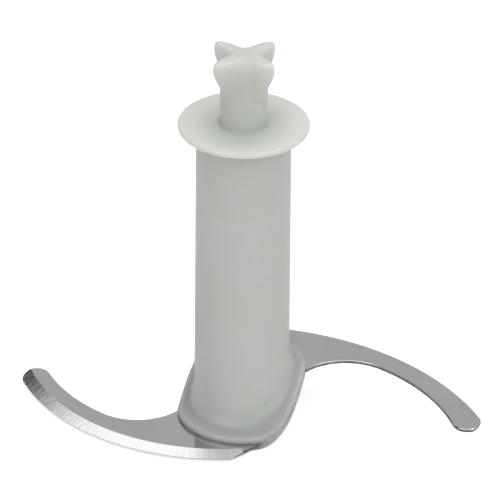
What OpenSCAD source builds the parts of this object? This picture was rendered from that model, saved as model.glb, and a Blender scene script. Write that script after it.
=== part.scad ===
// Food processor blade: a stepped S-shaped steel blade moulded into a tall plastic hub.
// X is to the right, Y away from the viewer, Z up along the spindle. The origin is on the hub's
// axis at the level it stands on. Each arm is drawn as the right-hand one, and the left-hand
// arm is then turned half a turn about Z.

/* [Blade] */
// Thickness of the steel sheet
blade_t = 1.1; // [0.8:0.1:2]
// Distance from the hub's axis to the centre of the high arm's rounded tip, along X
high_tip_x = 63; // [56:0.5:70]
// How far the high arm's tip curves forwards of the axis
high_tip_y = 23.4; // [18:0.1:26]
// Distance from the hub's axis to the centre of the low arm's rounded tip, along its own X
low_tip_x = 60.2; // [54:0.5:66]
// How far the low arm's tip curves round from the axis
low_tip_y = 15.4; // [10:0.1:18]
// Radius of the rounded tips
tip_r = 4; // [3:0.1:4.6]
// Radius of the high arm's cutting edge, as seen from above
high_edge_r = 74.4; // [66:0.2:84]
// Radius of the low arm's cutting edge, as seen from above
low_edge_r = 62; // [57:0.2:70]
// Distance from the axis to where a cutting edge starts, measured back from the hub
heel_y = 24.4; // [23:0.1:27]
// Offset of that start along the arm
heel_x = 2.4; // [0:0.1:5]
// Radius of the tight end of the hollow edge, beside the hub
hollow_r = 16.3; // [14:0.1:18]
// Distance of that round's centre from the axis, along the arm
hollow_x = 30.1; // [28:0.1:33]
// Distance of that round's centre in front of the axis
hollow_y = 9.4; // [8:0.1:12]
// How far the tight round runs on towards the other arm's heel, in degrees
hollow_wrap = 5; // [0:1:12]
// Radius of the long sweep of the hollow edge
sweep_r = 51.6; // [44:0.2:60]
// Width of the ground bevel along each cutting edge
bevel_w = 3.6; // [2:0.1:5]
// Thickness left at the cutting edge
edge_t = 0.12; // [0.05:0.01:0.4]

/* [Step between the arms] */
// Height of the high arm over the low arm
step_h = 12.1; // [6:0.1:16]
// Length of the slope between the arms, as seen from above
step_run = 19; // [14:0.5:22]
// Direction in which the slope climbs, from the X axis
step_dir = 53.5; // [46:0.5:60]
// Half the length over which each bend is eased
bend_ease = 2.5; // [1:0.1:4]

/* [Tube] */
// Radius of the tube under the flange
tube_top_r = 13; // [11.8:0.1:15]
// Growth of the tube's radius from the flange to the foot, its moulding draft
tube_draft = 0.65; // [0:0.05:1.2]
// Radius of the blind bore for the bowl's spindle
bore_r = 9.5; // [7:0.1:10]
// Depth of the spindle bore
bore_depth = 88; // [60:0.5:90]
// Wall of the spigot that runs down through the blade to the base
spigot_wall = 2.4; // [1.6:0.1:2.6]

/* [Foot] */
// Radius of the foot that grips the blade
foot_r = 19; // [18.3:0.1:21]
// Distance from the axis to the foot's two flattened sides
foot_flat = 17.7; // [16.5:0.1:19]
// Direction in which one flattened side faces, from the X axis
flat_dir = -19; // [-40:1:0]
// Thickness of the plastic over the blade at the foot's edge
foot_over = 2; // [1.4:0.1:3]
// Thickness of the plastic under the blade
foot_under = 1.1; // [0.8:0.1:2]
// Radius that rounds the foot's upper edge
foot_round = 1; // [0.4:0.1:1.3]
// Radius that rounds the foot's lower edge
base_round = 0.6; // [0.2:0.1:1]
// Height of the hollow flare from the foot up to the tube
flare_h = 4.6; // [3:0.1:8]

/* [Flange] */
// Radius of the flange
flange_r = 18.05; // [15:0.1:22]
// Thickness of the flange
flange_t = 1.6; // [1.2:0.1:3]
// Height of the flange's top over the base
flange_z = 96.1; // [94:0.1:110]
// Radius that rounds the flange's rim
flange_round = 0.6; // [0.2:0.05:0.6]

/* [Head] */
// Radius of the neck over the flange
neck_r = 6.5; // [5:0.1:8]
// Radius of the hollow round where the neck leaves the flange
neck_foot_r = 1; // [0.4:0.1:2]
// Height of the head's top over the flange
head_h = 21.2; // [18:0.1:28]
// Distance from the axis to the outside of a lobe
lobe_reach = 10.7; // [9.5:0.1:12]
// Radius that rounds a lobe's end into its top
lobe_tip_r = 1.2; // [0.8:0.1:2]
// Height of a lobe's upright end
lobe_end_h = 2.7; // [2:0.1:6]
// Depth under the top at which a lobe has run into the neck
lobe_h = 12.6; // [12:0.1:15]
// Angle of the lobes to each side of the X axis
lobe_angle = 41; // [28:1:48]
// Angle over which a lobe falls away towards the front or the back
lobe_spread = 19.5; // [12:0.5:26]
// Angle over which a lobe falls away towards the notch at the side
notch_spread = 14; // [9:0.5:22]
// Turn of the whole head about the hub's axis
head_turn = -0.5; // [-20:0.5:20]
// Radius of the rounded shoulder between the lobes
shoulder_r = 4.5; // [3:0.1:6]

/* [Hidden] */
$fn = 96;

low_top = foot_under + blade_t;
slope = step_h / step_run;
tube_foot_r = tube_top_r + tube_draft;
spigot_r = bore_r + spigot_wall;
head_top = flange_z + head_h;
reach = high_tip_x + high_edge_r;
flat_ease = 15;
head_depths = [0, 0.08, 0.3, 0.7, 1.2, 1.9, 2.7, 3.6, 4.5, 6, 7.5, 9, 10.5, 11.7, lobe_h];

function arc(c, r, a0, a1, n) =
    [for (i = [0:n]) let (a = a0 + (a1 - a0) * i / n) c + r * [cos(a), sin(a)]];

// Height of the blade's top over the low arm's, at the distance s up the slope from the axis
function eased(u) =
    u <= -bend_ease ? 0 : u >= bend_ease ? u : (u + bend_ease) * (u + bend_ease) / (4 * bend_ease);
function lift(s) = slope * (eased(s + step_run / 2) - eased(s - step_run / 2));
function climb(p) = p[0] * cos(step_dir) + p[1] * sin(step_dir);
bends = [for (side = [-1, 1], j = [-2:2]) side * step_run / 2 + j * bend_ease / 2];

// Centre of a circle of radius r that passes through the heel and just wraps a round of radius
// tip_r about the point p, on the side away from the cutting edge
function edge_centre(p, r) =
    let (heel = [heel_x, heel_y], q = r - tip_r, d = p - heel, l = norm(d),
         along = (r * r - q * q + l * l) / (2 * l), off = sqrt(r * r - along * along), u = d / l)
    heel + along * u + off * [u[1], -u[0]];

// Centre of the long arc of the hollow edge: it touches the tight round and the tip's round
function hollow_centre(p, r) =
    let (a = [hollow_x, -hollow_y], ra = r - hollow_r, rb = r + tip_r, d = p - a, l = norm(d),
         along = (ra * ra - rb * rb + l * l) / (2 * l), off = sqrt(ra * ra - along * along), u = d / l)
    a + along * u + off * [u[1], -u[0]];

function angle_of(v) = atan2(v[1], v[0]);

// Outline of one arm, from its heel round the tip and back to the other arm's heel
function arm_outline(tip, edge_r) =
    let (e = edge_centre(tip, edge_r), h = hollow_centre(tip, sweep_r), a = [hollow_x, -hollow_y],
         heel_a = angle_of([heel_x, heel_y] - e), tip_a = angle_of(tip - e),
         back_a = angle_of(h - tip), join_a = angle_of(a - h))
    concat(arc(e, edge_r, heel_a, tip_a, 40),
           arc(tip, tip_r, tip_a, back_a, 16),
           arc(h, sweep_r, angle_of(tip - h), join_a, 28),
           arc(a, hollow_r, join_a, 180 + hollow_wrap, 24));

high_tip = [high_tip_x, -high_tip_y];
low_tip = [low_tip_x, -low_tip_y];

module outline() {
    polygon(concat(arm_outline(high_tip, high_edge_r),
                   [for (p = arm_outline(low_tip, low_edge_r)) -p]));
}

// Upright section across the bends: the sheet keeps its thickness down the slope
module stepped_sheet() {
    steps = concat([-reach], bends, [reach]);
    function tilt(s) = atan((lift(s + 0.01) - lift(s - 0.01)) / 0.02);
    function skin(s, d) = [s, lift(s) + foot_under + blade_t / 2] + d * [-sin(tilt(s)), cos(tilt(s))];
    top = [for (s = steps) skin(s, blade_t / 2)];
    under = [for (i = [len(steps) - 1:-1:0]) skin(steps[i], -blade_t / 2)];
    rotate([0, 0, step_dir]) rotate([90, 0, 0]) linear_extrude(2 * reach, center = true)
        polygon(concat(top, under));
}

// Ring that grinds a bevel along an arm's edge: from the sheet's face at z to nearly its back
module bevel_cut(tip, edge_r, z, side) {
    e = edge_centre(tip, edge_r);
    from = angle_of(tip - e) - 6;
    to = angle_of([heel_x, heel_y] - e) + 3;
    fall = side * (blade_t - edge_t) / bevel_w;
    translate([e[0], e[1], 0]) rotate([0, 0, from]) rotate_extrude(angle = to - from, $fn = 180)
        polygon([[edge_r - bevel_w - 1, z + fall], [edge_r + 1, z - fall * (bevel_w + 1)],
                 [edge_r + 1, z + 2 * side], [edge_r - bevel_w - 1, z + 2 * side]]);
}

module blade() {
    color("silver") difference() {
        intersection() {
            linear_extrude(2 * (step_h + low_top), center = true) outline();
            stepped_sheet();
        }
        rotate([0, 0, 180]) bevel_cut(low_tip, low_edge_r, low_top, 1);
        bevel_cut(high_tip, high_edge_r, foot_under + step_h, -1);
        translate([0, 0, -1]) cylinder(h = step_h + low_top + 2, r = spigot_r);
    }
}

// Half section of the foot, as heights over the plastic under that part of the blade
function foot_section() =
    let (top = low_top + foot_over, edge = foot_r - foot_round,
         run = edge - tube_foot_r + 0.15, in = spigot_r - 0.5)
    concat([[in, top + flare_h + 1]],
           [for (a = [78:-13:13]) [edge - run * sin(a), top + flare_h * (1 - cos(a))]],
           [for (p = arc([edge, top - foot_round], foot_round, 90, 0, 3)) p],
           [for (p = arc([foot_r - base_round, base_round], base_round, 0, -90, 2)) p],
           [[in, 0]]);

// Radius of the foot in the direction a: a circle eased into the two flattened sides
function foot_reach(a) =
    let (flat = foot_flat / max(0.01, abs(cos(a - flat_dir))), n = flat_ease)
    pow(pow(foot_r, -n) + pow(flat, -n), -1 / n);

// The foot: its section carried round the axis, rising and falling with the blade
module foot() {
    section = foot_section();
    m = len(section);
    turns = 72;
    points = [for (i = [0:turns - 1], q = section)
        let (a = 360 * (i + 0.37) / turns, pull = (foot_reach(a) - tube_foot_r) / (foot_r - tube_foot_r),
             r = min(q[0], tube_foot_r) + pull * max(0, q[0] - tube_foot_r), p = r * [cos(a), sin(a)])
        [p[0], p[1], q[1] + lift(climb(p))]];
    faces = [for (i = [0:turns - 1], j = [0:m - 1])
        let (k = (i + 1) % turns, l = (j + 1) % m) [i * m + j, k * m + j, k * m + l, i * m + l]];
    polyhedron(points, faces, convexity = 6);
}

// Space beside the spigot where the foot takes over from the tube
module under_tube() {
    steps = concat([-2 * foot_r], bends, [2 * foot_r]);
    rise = low_top + foot_over / 2;
    difference() {
        rotate([0, 0, step_dir]) rotate([90, 0, 0]) linear_extrude(4 * foot_r, center = true)
            polygon(concat([for (s = steps) [s, lift(s) + rise]], [[2 * foot_r, -5], [-2 * foot_r, -5]]));
        translate([0, 0, -10]) cylinder(h = step_h + 20, r = spigot_r);
    }
}

module flange() {
    r = flange_r - flange_round;
    rotate_extrude()
        polygon(concat([[0, flange_z - flange_t]],
                       arc([r, flange_z - flange_t + flange_round], flange_round, -90, 0, 4),
                       arc([r, flange_z - flange_round], flange_round, 0, 90, 4),
                       [[0, flange_z]]));
}

// How far a rounding of radius r cuts back at the depth d under its top
function cut_back(d, r) = d >= r ? 0 : r - sqrt(r * r - (r - d) * (r - d));

// Radius of the head between the lobes, and out to a lobe's end, at the depth d
function core_r(d) = neck_r - cut_back(d, shoulder_r);
function lobe_r(d) =
    let (s = min(1, max(0, (d - lobe_end_h) / (lobe_h - lobe_end_h))), ease = (s + s * s * (3 - 2 * s)) / 2)
    lobe_reach - cut_back(d, lobe_tip_r) - (lobe_reach - neck_r) * ease;

// Share of the lobe in the head's radius at the angle q from the X axis
function lobe_share(q) =
    let (off = q - lobe_angle, spread = off > 0 ? lobe_spread : notch_spread)
    exp(-off * off / (spread * spread));

// Angle from the X axis at step j of 16 to the Y axis, with short steps round the lobe's end
function lobe_step(j) =
    lobe_angle + (j < 8 ? -lobe_angle : 90 - lobe_angle) * pow(abs(j - 8) / 8, 1.6);

// Half section of the head at the angle q: from its top down the neck into the flange
function head_section(q) =
    concat([for (d = head_depths) [core_r(d) + (lobe_r(d) - core_r(d)) * lobe_share(q), head_top - d]],
           arc([neck_r + neck_foot_r, flange_z + neck_foot_r], neck_foot_r, -180, -90, 3),
           [[neck_r + neck_foot_r, flange_z - flange_t / 2]]);

// Neck and lobed head: one skin that swells from the neck into the four lobes
module head() {
    m = len(head_section(0));
    points = [for (i = [0:63])
        let (side = floor(i / 16), j = i % 16, back = side % 2 == 1,
             q = lobe_step(back ? 16 - j : j), a = side * 90 + (back ? 90 - q : q))
        each [for (p = head_section(q)) [p[0] * cos(a), p[0] * sin(a), p[1]]]];
    skin = [for (i = [0:63], j = [0:m - 2])
        let (k = (i + 1) % 64) [i * m + j, k * m + j, k * m + j + 1, i * m + j + 1]];
    lid = [for (i = [0:63]) [((i + 1) % 64) * m, i * m, 64 * m]];
    base = [for (i = [0:63]) i * m + m - 1];
    rotate([0, 0, head_turn])
        polyhedron(concat(points, [[0, 0, head_top]]), concat(lid, [base], skin), convexity = 6);
}

module hub() {
    color("whitesmoke") difference() {
        union() {
            difference() {
                cylinder(h = flange_z - flange_t / 2, r1 = tube_foot_r, r2 = tube_top_r);
                under_tube();
            }
            foot();
            flange();
            head();
        }
        blade();
        translate([0, 0, -1]) cylinder(h = bore_depth + 1, r = bore_r);
    }
}

hub();
blade();
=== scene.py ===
"""Food processor blade: finishes for the moulded hub and the steel blade, and a plain studio."""

from math import cos, radians, sin

import bpy
from mathutils import Matrix, Vector


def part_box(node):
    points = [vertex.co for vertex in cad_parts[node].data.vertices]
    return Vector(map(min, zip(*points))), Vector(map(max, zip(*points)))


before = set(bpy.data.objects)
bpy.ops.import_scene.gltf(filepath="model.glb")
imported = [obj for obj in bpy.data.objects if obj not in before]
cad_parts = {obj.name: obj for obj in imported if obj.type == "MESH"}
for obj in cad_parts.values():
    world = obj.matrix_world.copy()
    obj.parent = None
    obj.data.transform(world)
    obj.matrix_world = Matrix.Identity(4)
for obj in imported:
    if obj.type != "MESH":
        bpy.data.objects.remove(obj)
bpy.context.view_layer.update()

bl_info = {
    "name": "Food Processor Blade",
    "version": (1, 0, 0),
    "blender": (4, 5, 0),
    "location": "View3D > Sidebar > Processor Blade",
    "description": "Finishes a stepped blade on its moulded hub and sets up a plain studio",
    "category": "Object",
}

MM = 0.001
BLADE_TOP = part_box("blade")[1][2]
WELD = 0.001 * MM
EDGE_RADIUS = 68 * MM
FOOT_TOP = 40 * MM
HUB_SHARP = radians(42)
BLADE_SHARP = radians(12)
BEVEL_BELOW = 0.985
SIDE_BELOW = 0.3
FLOOR_HALF = 4.0


# Properties


class HubFinish(bpy.types.PropertyGroup):
    """The moulded hub's plastic."""

    colour: bpy.props.FloatVectorProperty(
        name="Plastic", description="Body colour of the natural white plastic",
        subtype="COLOR", size=3, min=0, max=1, default=(0.63, 0.65, 0.622),
    )
    deep_colour: bpy.props.FloatVectorProperty(
        name="Deep plastic", description="Colour of the cloudy, thicker parts of the plastic",
        subtype="COLOR", size=3, min=0, max=1, default=(0.605, 0.635, 0.588),
    )
    # Foot: a plain darker colour laid on the plastic from foot_edge outwards and below FOOT_TOP.
    foot_colour: bpy.props.FloatVectorProperty(
        name="Foot", description="Colour where the steel shows through the foot's thin plastic",
        subtype="COLOR", size=3, min=0, max=1, default=(0.45, 0.462, 0.452),
    )
    foot_edge: bpy.props.FloatProperty(
        name="Foot from", description="Distance from the axis at which the tube turns into the foot",
        unit="LENGTH", min=0, max=30 * MM, default=13.7 * MM,
    )
    gloss: bpy.props.FloatProperty(
        name="Roughness", description="Mean roughness of the moulded skin",
        min=0.05, max=1, default=0.34,
    )
    milkiness: bpy.props.FloatProperty(
        name="Milkiness", description="How much light scatters inside the plastic",
        min=0, max=1, default=0.95,
    )


class BladeFinish(bpy.types.PropertyGroup):
    """The steel sheet, its ground bevels and its sheared edges."""

    steel: bpy.props.FloatVectorProperty(
        name="Steel", description="Reflected colour of the polished sheet",
        subtype="COLOR", size=3, min=0, max=1, default=(0.582, 0.6, 0.582),
    )
    # Ground steel is set far brighter than the polished steel: a painted highlight on the bevel. The grinding
    # strokes' light and dark over it are the bevel's own.
    ground: bpy.props.FloatVectorProperty(
        name="Ground steel", description="Reflected colour of the ground bevel",
        subtype="COLOR", size=3, min=0, max=1, default=(0.95, 0.955, 0.95),
    )
    # The sheared side's dark colour is partly its dull torn finish and partly painted shade, far darker than
    # the steel's own.
    sheared: bpy.props.FloatVectorProperty(
        name="Sheared edge", description="Colour of the punched side of the sheet",
        subtype="COLOR", size=3, min=0, max=1, default=(0.16, 0.16, 0.16),
    )
    polish: bpy.props.FloatProperty(
        name="Roughness", description="Mean roughness of the polished faces",
        min=0.02, max=0.6, default=0.085,
    )
    stroke: bpy.props.FloatProperty(
        name="Grinding stroke", description="Spacing of the grinding marks across the bevel",
        unit="LENGTH", min=0.1 * MM, max=3 * MM, default=0.6 * MM,
    )
    high_edge: bpy.props.FloatVectorProperty(
        name="High edge centre", description="Centre of the high arm's cutting arc",
        subtype="TRANSLATION", unit="LENGTH", size=2, default=(-2.24 * MM, -49.86 * MM),
    )
    low_edge: bpy.props.FloatVectorProperty(
        name="Low edge centre", description="Centre of the low arm's cutting arc",
        subtype="TRANSLATION", unit="LENGTH", size=2, default=(-6.56 * MM, 37.46 * MM),
    )
    edge_round: bpy.props.FloatProperty(
        name="Edge rounding", description="Height of the smooth round that stamping leaves on the upper edge",
        unit="LENGTH", min=0, max=0.8 * MM, default=0.4 * MM,
    )
    step: bpy.props.FloatProperty(
        name="Step", description="Height of the high arm over the low arm",
        unit="LENGTH", min=0, max=20 * MM, default=12.1 * MM,
    )


class Studio(bpy.types.PropertyGroup):
    """The studio camera: its elevation, roll, distance, target and lens."""

    elevation: bpy.props.FloatProperty(
        name="Elevation", description="Height of the camera over the horizon",
        unit="ROTATION", default=radians(31.374),
    )
    roll: bpy.props.FloatProperty(
        name="Roll", description="Turn of the camera about its own axis",
        unit="ROTATION", default=radians(0.547),
    )
    distance: bpy.props.FloatProperty(
        name="Distance", description="Distance from the camera to the point it looks at",
        unit="LENGTH", default=837.7 * MM,
    )
    target: bpy.props.FloatVectorProperty(
        name="Target", description="Point that the camera looks at",
        subtype="TRANSLATION", unit="LENGTH", size=3, default=(2.02 * MM, 0, 55.32 * MM),
    )
    lens: bpy.props.FloatProperty(
        name="Lens", description="Focal length in millimetres on a 36 mm sensor",
        min=20, max=400, default=216.15,
    )


# Shader expressions


class Sock:
    """A node socket that takes part in arithmetic: each operation adds a Math node."""

    def __init__(self, tree, out):
        self.tree = tree
        self.out = out

    def _math(self, operation, *args):
        return self.tree.node("ShaderNodeMath", {"operation": operation}, dict(enumerate(args)))

    def __add__(self, other):
        return self._math("ADD", self, other)

    def __radd__(self, other):
        return self._math("ADD", other, self)

    def __sub__(self, other):
        return self._math("SUBTRACT", self, other)

    def __rsub__(self, other):
        return self._math("SUBTRACT", other, self)

    def __mul__(self, other):
        return self._math("MULTIPLY", self, other)

    def __rmul__(self, other):
        return self._math("MULTIPLY", other, self)

    def __truediv__(self, other):
        return self._math("DIVIDE", self, other)

    def __gt__(self, other):
        return self._math("GREATER_THAN", self, other)

    def __lt__(self, other):
        return self._math("LESS_THAN", self, other)

    def smooth(self, low, high):
        """0 below low, 1 above high, eased between them."""
        return self.tree.node(
            "ShaderNodeMapRange", {"interpolation_type": "SMOOTHSTEP"},
            {0: self, 1: low, 2: high, 3: 0.0, 4: 1.0},
        )


class Material:
    """Builds one node material."""

    def __init__(self, name):
        self.data = bpy.data.materials.new(name)
        self.data.use_nodes = True
        self.nodes = self.data.node_tree.nodes
        self.links = self.data.node_tree.links
        self.surface = self.nodes["Principled BSDF"]
        self.coords = Sock(self, self.nodes.new("ShaderNodeTexCoord").outputs["Object"])

    def node(self, kind, settings=None, inputs=None, output=0):
        made = self.nodes.new(kind)
        for key, value in (settings or {}).items():
            if key == "stops":
                self._stops(made.color_ramp, value)
            else:
                setattr(made, key, value)
        for key, value in (inputs or {}).items():
            self.feed(made.inputs[key], value)
        return Sock(self, made.outputs[output])

    def _stops(self, ramp, stops):
        while len(ramp.elements) < len(stops):
            ramp.elements.new(0.5)
        for element, (place, grey) in zip(ramp.elements, stops):
            element.position = place
            element.color = (grey, grey, grey, 1)

    def feed(self, socket, value):
        if isinstance(value, Sock):
            self.links.new(value.out, socket)
        else:
            socket.default_value = value

    def noise(self, scale, detail=2.0, where=None, roughness=0.5):
        return self.node(
            "ShaderNodeTexNoise", {},
            {"Vector": where or self.coords, "Scale": scale, "Detail": detail, "Roughness": roughness},
        )

    def stretched(self, x, y, z):
        """Object coordinates scaled along each axis, for grain with a direction."""
        return self.node("ShaderNodeVectorMath", {"operation": "MULTIPLY"}, {0: self.coords, 1: (x, y, z)})

    def axes(self):
        split = self.nodes.new("ShaderNodeSeparateXYZ")
        self.links.new(self.coords.out, split.inputs[0])
        return [Sock(self, out) for out in split.outputs]

    def vector(self, x, y, z):
        return self.node("ShaderNodeCombineXYZ", {}, {0: x, 1: y, 2: z})

    def mix(self, factor, first, second):
        """Mixes two colours, each a triple or a link."""
        first, second = ((*c, 1) if isinstance(c, tuple) else c for c in (first, second))
        return self.node("ShaderNodeMix", {"data_type": "RGBA"}, {0: factor, 6: first, 7: second}, 2)

    def bump(self, height, depth, normal=None):
        inputs = {"Height": height, "Distance": depth, "Strength": 1.0}
        if normal:
            inputs["Normal"] = normal
        return self.node("ShaderNodeBump", {}, inputs)

    def finish(self, **sockets):
        for name, value in sockets.items():
            self.feed(self.surface.inputs[name.replace("_", " ")], value)
        return self.data


def colour(prop):
    return tuple(prop)


def plastic_material(props):
    """Natural white plastic: milky, faintly green, with a soft moulded skin."""
    m = Material("natural_plastic")
    clouds = m.noise(45.0, 3.0)
    flow = m.noise(1.0, 4.0, m.stretched(260.0, 260.0, 22.0))
    grain = m.noise(2600.0, 2.0)
    tint = m.mix(clouds.smooth(0.35, 0.7), colour(props.colour), colour(props.deep_colour))
    x, y, z = m.axes()
    radius = m.node("ShaderNodeVectorMath", {"operation": "LENGTH"}, {0: m.vector(x, y, 0.0)}, 1)
    # Darker colour for the foot: from foot_edge outwards and below FOOT_TOP.
    foot = radius.smooth(props.foot_edge, props.foot_edge + 2 * MM) * (z < FOOT_TOP)
    tint = m.mix(foot, tint, colour(props.foot_colour))
    skin = m.bump(grain, 0.006 * MM)
    skin = m.bump(flow, 0.03 * MM, skin)
    return m.finish(
        Base_Color=tint,
        Roughness=props.gloss + (clouds - 0.5) * 0.12 + (flow - 0.5) * 0.1,
        Subsurface_Weight=props.milkiness,
        Subsurface_Radius=(1.0, 1.0, 0.8),
        Subsurface_Scale=8 * MM,
        IOR=1.49,
        Normal=skin,
    )


def steel_material(props):
    """Polished stainless sheet: a mirror dulled by fine rolling lines and a few handling marks."""
    m = Material("polished_steel")
    rolling = m.noise(1.0, 3.0, m.stretched(60.0, 4200.0, 4200.0))
    cloud = m.noise(70.0, 3.0)
    marks = m.noise(1.0, 5.0, m.stretched(900.0, 90.0, 900.0)).smooth(0.62, 0.78)
    return m.finish(
        Base_Color=m.mix(cloud.smooth(0.3, 0.7), colour(props.steel), tuple(c * 0.94 for c in props.steel)),
        Metallic=1.0,
        Roughness=props.polish + (rolling - 0.5) * 0.05 + (cloud - 0.5) * 0.04 + marks * 0.03,
        Normal=m.bump(rolling, 0.0006 * MM),
    )


def ground_material(props):
    """Ground bevel: strokes of the grinding wheel run across the edge. Its colour, far brighter than the
    polished steel's, is a painted highlight.
    """
    m = Material("ground_bevel")
    x, y, z = m.axes()
    low_side = x < 0.0

    def pick(low, high):
        return low_side * low + (1.0 - low_side) * high

    dx = x - pick(props.low_edge[0], props.high_edge[0])
    dy = y - pick(props.low_edge[1], props.high_edge[1])
    turn = m.node("ShaderNodeMath", {"operation": "ARCTAN2"}, {0: dy, 1: dx})
    radius = m.node("ShaderNodeVectorMath", {"operation": "LENGTH"}, {0: m.vector(dx, dy, 0.0)}, 1)
    along = turn * (EDGE_RADIUS / props.stroke)
    across = radius * (0.12 / props.stroke)
    strokes = m.noise(1.0, 3.0, m.vector(along, across, 0.0))
    fine = m.noise(1.0, 2.0, m.vector(along * 3.7, across * 1.5, 4.0))
    band = m.noise(1.0, 1.0, m.vector(along * 0.08, 0.0, 9.0))
    relief = strokes * 0.65 + fine * 0.35
    # Painted highlight: the bevel's colour sits far above the polished steel's. The strokes' light and dark
    # over it are the grinding's own.
    tint = m.mix(relief.smooth(0.42, 0.62), tuple(c * 0.9 for c in props.ground), colour(props.ground))
    return m.finish(
        Base_Color=tint,
        Metallic=1.0,
        Roughness=0.15 + (strokes - 0.5) * 0.1 + (band - 0.5) * 0.1,
        Normal=m.bump(relief, 0.05 * MM),
    )


def sheared_material(props):
    """Punched side of the sheet: torn, and dark partly from its dull sheared finish and partly from painted
    shade, under an upper edge that stamping rolls smooth.
    """
    m = Material("sheared_edge")
    tear = m.noise(1.0, 3.0, m.stretched(900.0, 900.0, 120.0))
    x, y, z = m.axes()
    level = z + (x < 0.0) * props.step
    rounded = level.smooth(BLADE_TOP - props.edge_round, BLADE_TOP - 0.8 * props.edge_round)
    # Painted shade: the side's colour sits far below the steel's. The tear's light and dark over it are the
    # torn finish's own.
    body = m.mix(tear.smooth(0.35, 0.65), colour(props.sheared), tuple(c * 2.0 for c in props.sheared))
    plain = m.node("ShaderNodeNewGeometry", {}, {}, 1)
    tilted = m.node("ShaderNodeVectorMath", {"operation": "ADD"}, {0: plain, 1: m.vector(0.0, 0.0, rounded)})
    tilted = m.node("ShaderNodeVectorMath", {"operation": "NORMALIZE"}, {0: tilted})
    return m.finish(
        Base_Color=m.mix(rounded, body, colour(props.steel)),
        Metallic=1.0,
        Roughness=0.4 + (tear - 0.5) * 0.2 - rounded * 0.25,
        Normal=m.bump(tear, 0.01 * MM, tilted),
    )


# Geometry Nodes


class Tree:
    """Builds one geometry node tree with named inputs."""

    def __init__(self, name):
        self.data = bpy.data.node_groups.new(name, "GeometryNodeTree")
        self.data.interface.new_socket("Geometry", in_out="INPUT", socket_type="NodeSocketGeometry")
        self.data.interface.new_socket("Geometry", in_out="OUTPUT", socket_type="NodeSocketGeometry")
        self.start = self.data.nodes.new("NodeGroupInput")
        self.end = self.data.nodes.new("NodeGroupOutput")

    def value(self, name, kind, default=None):
        socket = self.data.interface.new_socket(name, in_out="INPUT", socket_type=kind)
        if default is not None:
            socket.default_value = default
        return self.start.outputs[name]

    def node(self, kind, settings=None, inputs=None, output=0):
        made = self.data.nodes.new(kind)
        for key, value in (settings or {}).items():
            setattr(made, key, value)
        for key, value in (inputs or {}).items():
            if isinstance(value, bpy.types.NodeSocket):
                self.data.links.new(value, made.inputs[key])
            else:
                made.inputs[key].default_value = value
        return made.outputs[output]

    def finish(self, geometry):
        self.data.links.new(geometry, self.end.inputs[0])
        return self.data


def soften_tree():
    """Welds a solid's loose faces and shades them smooth, except over sharp edges."""
    t = Tree("weld_and_smooth")
    limit = t.value("Sharp from", "NodeSocketFloat", BLADE_SHARP)
    loose = t.start.outputs[0]
    welded = t.node("GeometryNodeMergeByDistance", {}, {"Geometry": loose, "Distance": WELD})
    smooth = t.node(
        "GeometryNodeSetShadeSmooth", {"domain": "FACE"}, {"Geometry": welded, "Shade Smooth": True},
    )
    angle = t.node("GeometryNodeInputMeshEdgeAngle")
    sharp = t.node("FunctionNodeCompare", {"operation": "GREATER_THAN"}, {0: angle, 1: limit})
    edged = t.node(
        "GeometryNodeSetShadeSmooth", {"domain": "EDGE"},
        {"Geometry": smooth, "Selection": sharp, "Shade Smooth": False},
    )
    return t.finish(edged)


def paint_tree():
    """Gives the blade's faces their finish by the way they face: sides, bevels and flats. The bevels' finish
    carries a painted highlight and the sides' finish a painted shade.
    """
    t = Tree("paint_by_slope")
    flat = t.value("Flat", "NodeSocketMaterial")
    bevel = t.value("Bevel", "NodeSocketMaterial")
    side = t.value("Side", "NodeSocketMaterial")
    normal = t.node("GeometryNodeInputNormal")
    up = t.node("ShaderNodeSeparateXYZ", {}, {0: normal}, 2)
    slope = t.node("ShaderNodeMath", {"operation": "ABSOLUTE"}, {0: up})
    is_bevel = t.node("FunctionNodeCompare", {"operation": "LESS_THAN"}, {0: slope, 1: BEVEL_BELOW})
    is_side = t.node("FunctionNodeCompare", {"operation": "LESS_THAN"}, {0: slope, 1: SIDE_BELOW})
    painted = t.node("GeometryNodeSetMaterial", {}, {"Geometry": t.start.outputs[0], "Material": flat})
    for chosen, finish in ((is_bevel, bevel), (is_side, side)):
        painted = t.node(
            "GeometryNodeSetMaterial", {}, {"Geometry": painted, "Selection": chosen, "Material": finish},
        )
    return t.finish(painted)


def add_tree(obj, name, tree, **values):
    """Adds a geometry node modifier and sets its named inputs by their identifiers."""
    modifier = obj.modifiers.new(name, "NODES")
    modifier.node_group = tree
    for item in tree.interface.items_tree:
        if item.in_out == "INPUT" and item.name in values:
            modifier[item.identifier] = values[item.name]
    return modifier


# Operators


class BLADE_OT_hub(bpy.types.Operator):
    """Finish the moulded hub"""

    bl_idname = "blade.hub"
    bl_label = "Hub"

    def execute(self, context):
        props = context.scene.hub_finish
        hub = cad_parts["hub"]
        hub.data.materials.clear()
        hub.data.materials.append(plastic_material(props))
        add_tree(hub, "Smooth", soften_tree(), **{"Sharp from": HUB_SHARP})
        level = hub.modifiers.new("Level", "WEIGHTED_NORMAL")
        level.keep_sharp = True
        return {"FINISHED"}


class BLADE_OT_blade(bpy.types.Operator):
    """Finish the steel blade"""

    bl_idname = "blade.blade"
    bl_label = "Blade"

    def execute(self, context):
        props = context.scene.blade_finish
        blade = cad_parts["blade"]
        blade.data.materials.clear()
        finishes = [steel_material(props), ground_material(props), sheared_material(props)]
        for finish in finishes:
            blade.data.materials.append(finish)
        add_tree(blade, "Smooth", soften_tree(), **{"Sharp from": BLADE_SHARP})
        add_tree(blade, "Paint", paint_tree(), Flat=finishes[0], Bevel=finishes[1], Side=finishes[2])
        return {"FINISHED"}


def area_lamp(name, place, target, size, power):
    data = bpy.data.lights.new(name, "AREA")
    data.shape = "RECTANGLE"
    data.size, data.size_y = size
    data.energy = power
    lamp = bpy.data.objects.new(name, data)
    lamp.location = place
    lamp.rotation_euler = (Vector(target) - Vector(place)).to_track_quat("-Z", "Y").to_euler()
    bpy.context.scene.collection.objects.link(lamp)
    return lamp


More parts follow.
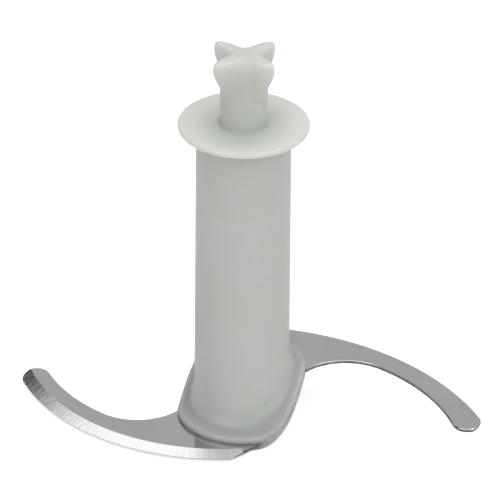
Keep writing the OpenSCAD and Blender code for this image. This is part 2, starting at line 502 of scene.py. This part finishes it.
def camera_object(props):
    """Camera that looks at the target from the front, with a little roll."""
    data = bpy.data.cameras.new("camera")
    data.sensor_width = 36.0
    data.lens = props.lens
    data.clip_end = 20.0
    camera = bpy.data.objects.new("camera", data)
    ahead = Vector((0, cos(props.elevation), -sin(props.elevation)))
    right = Vector((1, 0, 0))
    up = right.cross(ahead)
    turned_right = right * cos(props.roll) + up * sin(props.roll)
    turned_up = up * cos(props.roll) - right * sin(props.roll)
    axes = Matrix((turned_right, turned_up, -ahead)).transposed().to_4x4()
    camera.matrix_world = Matrix.Translation(Vector(props.target) - ahead * props.distance) @ axes
    bpy.context.scene.collection.objects.link(camera)
    return camera


def floor_material():
    """Pale floor that shows white to the camera and keeps the object's soft shadow."""
    data = bpy.data.materials.new("pale_floor")
    data.use_nodes = True
    nodes, links = data.node_tree.nodes, data.node_tree.links
    nodes.clear()
    out = nodes.new("ShaderNodeOutputMaterial")
    diffuse = nodes.new("ShaderNodeBsdfDiffuse")
    diffuse.inputs["Color"].default_value = (0.75, 0.75, 0.75, 1)
    shown = nodes.new("ShaderNodeAddShader")
    glow = nodes.new("ShaderNodeEmission")
    glow.inputs["Strength"].default_value = 0.62
    path = nodes.new("ShaderNodeLightPath")
    pick = nodes.new("ShaderNodeMixShader")
    links.new(diffuse.outputs[0], shown.inputs[0])
    links.new(glow.outputs[0], shown.inputs[1])
    links.new(path.outputs["Is Camera Ray"], pick.inputs[0])
    links.new(diffuse.outputs[0], pick.inputs[1])
    links.new(shown.outputs[0], pick.inputs[2])
    links.new(pick.outputs[0], out.inputs[0])
    return data


def studio_world():
    """White to the camera; to everything else a room with a grey backdrop and a pale ceiling.

    A dark panel stands at the back on the left, where the tip of the low bevel mirrors it.
    """
    world = bpy.data.worlds.new("studio")
    world.use_nodes = True
    nodes, links = world.node_tree.nodes, world.node_tree.links
    nodes.clear()

    def link(source, target):
        links.new(source, target)

    def ramp(source, stops):
        made = nodes.new("ShaderNodeValToRGB")
        while len(made.color_ramp.elements) < len(stops):
            made.color_ramp.elements.new(0.5)
        for element, (place, grey) in zip(made.color_ramp.elements, stops):
            element.position = place
            element.color = (grey, grey, grey, 1)
        link(source, made.inputs[0])
        return made.outputs[0]

    out = nodes.new("ShaderNodeOutputWorld")
    coords = nodes.new("ShaderNodeTexCoord")
    split = nodes.new("ShaderNodeSeparateXYZ")
    link(coords.outputs["Generated"], split.inputs[0])
    greys = [(0.0, 0.28), (0.4, 0.36), (0.48, 0.6), (0.6, 0.6), (0.74, 1.08), (1.0, 1.08)]
    height = ramp(split.outputs["Z"], greys)
    low = ramp(split.outputs["Z"], [(0.66, 1.0), (0.78, 0.0)])
    left = nodes.new("ShaderNodeMapRange")
    left.interpolation_type = "SMOOTHSTEP"
    for key, value in {1: -0.16, 2: -0.28, 3: 0.0, 4: 1.0}.items():
        left.inputs[key].default_value = value
    link(split.outputs["X"], left.inputs[0])
    panel = nodes.new("ShaderNodeMath")
    panel.operation = "MULTIPLY"
    link(low, panel.inputs[0])
    link(left.outputs[0], panel.inputs[1])
    shade = nodes.new("ShaderNodeMix")
    shade.data_type = "RGBA"
    shade.inputs[7].default_value = (0.05, 0.05, 0.05, 1)
    link(panel.outputs[0], shade.inputs[0])
    link(height, shade.inputs[6])
    room = nodes.new("ShaderNodeBackground")
    link(shade.outputs[2], room.inputs["Color"])
    white = nodes.new("ShaderNodeBackground")
    white.inputs["Color"].default_value = (1, 1, 1, 1)
    path = nodes.new("ShaderNodeLightPath")
    pick = nodes.new("ShaderNodeMixShader")
    link(path.outputs["Is Camera Ray"], pick.inputs[0])
    link(room.outputs[0], pick.inputs[1])
    link(white.outputs[0], pick.inputs[2])
    link(pick.outputs[0], out.inputs[0])
    return world


class BLADE_OT_stage(bpy.types.Operator):
    """Set up the floor, the lamps, the world and the camera"""

    bl_idname = "blade.stage"
    bl_label = "Stage"

    def execute(self, context):
        scene = context.scene
        mesh = bpy.data.meshes.new("floor")
        half = FLOOR_HALF
        corners = [(-half, -half, 0), (half, -half, 0), (half, half, 0), (-half, half, 0)]
        mesh.from_pydata(corners, [], [(0, 1, 2, 3)])
        mesh.materials.append(floor_material())
        floor = bpy.data.objects.new("floor", mesh)
        scene.collection.objects.link(floor)
        middle = (0, 0, 0.05)
        area_lamp("key", (-0.6, -0.7, 0.7), middle, (0.5, 0.5), 2.65)
        area_lamp("fill", (0.65, -0.65, 0.6), middle, (0.5, 0.6), 1.75)
        top = area_lamp("top", (-0.04, 0.42, 0.88), middle, (0.8, 0.4), 1.1)
        top.visible_glossy = False
        scene.world = studio_world()
        scene.camera = camera_object(scene.blade_studio)
        scene.view_settings.view_transform = "Standard"
        return {"FINISHED"}


class BLADE_PT_panel(bpy.types.Panel):
    """Lists the blade's operators and values"""

    bl_label = "Processor Blade"
    bl_space_type = "VIEW_3D"
    bl_region_type = "UI"
    bl_category = "Processor Blade"

    def draw(self, context):
        for operator in OPERATORS:
            self.layout.operator(operator.bl_idname)
        for owner in (context.scene.hub_finish, context.scene.blade_finish, context.scene.blade_studio):
            box = self.layout.box()
            for key in owner.__annotations__:
                box.prop(owner, key)


GROUPS = {"hub_finish": HubFinish, "blade_finish": BladeFinish, "blade_studio": Studio}
OPERATORS = (BLADE_OT_hub, BLADE_OT_blade, BLADE_OT_stage)


def register():
    for cls in (*GROUPS.values(), *OPERATORS, BLADE_PT_panel):
        bpy.utils.register_class(cls)
    for name, group in GROUPS.items():
        setattr(bpy.types.Scene, name, bpy.props.PointerProperty(type=group))


def unregister():
    for name in GROUPS:
        delattr(bpy.types.Scene, name)
    for cls in reversed((*GROUPS.values(), *OPERATORS, BLADE_PT_panel)):
        bpy.utils.unregister_class(cls)


def main():
    register()
    bpy.ops.blade.hub()
    bpy.ops.blade.blade()
    bpy.ops.blade.stage()


if __name__ == "__main__":
    main()
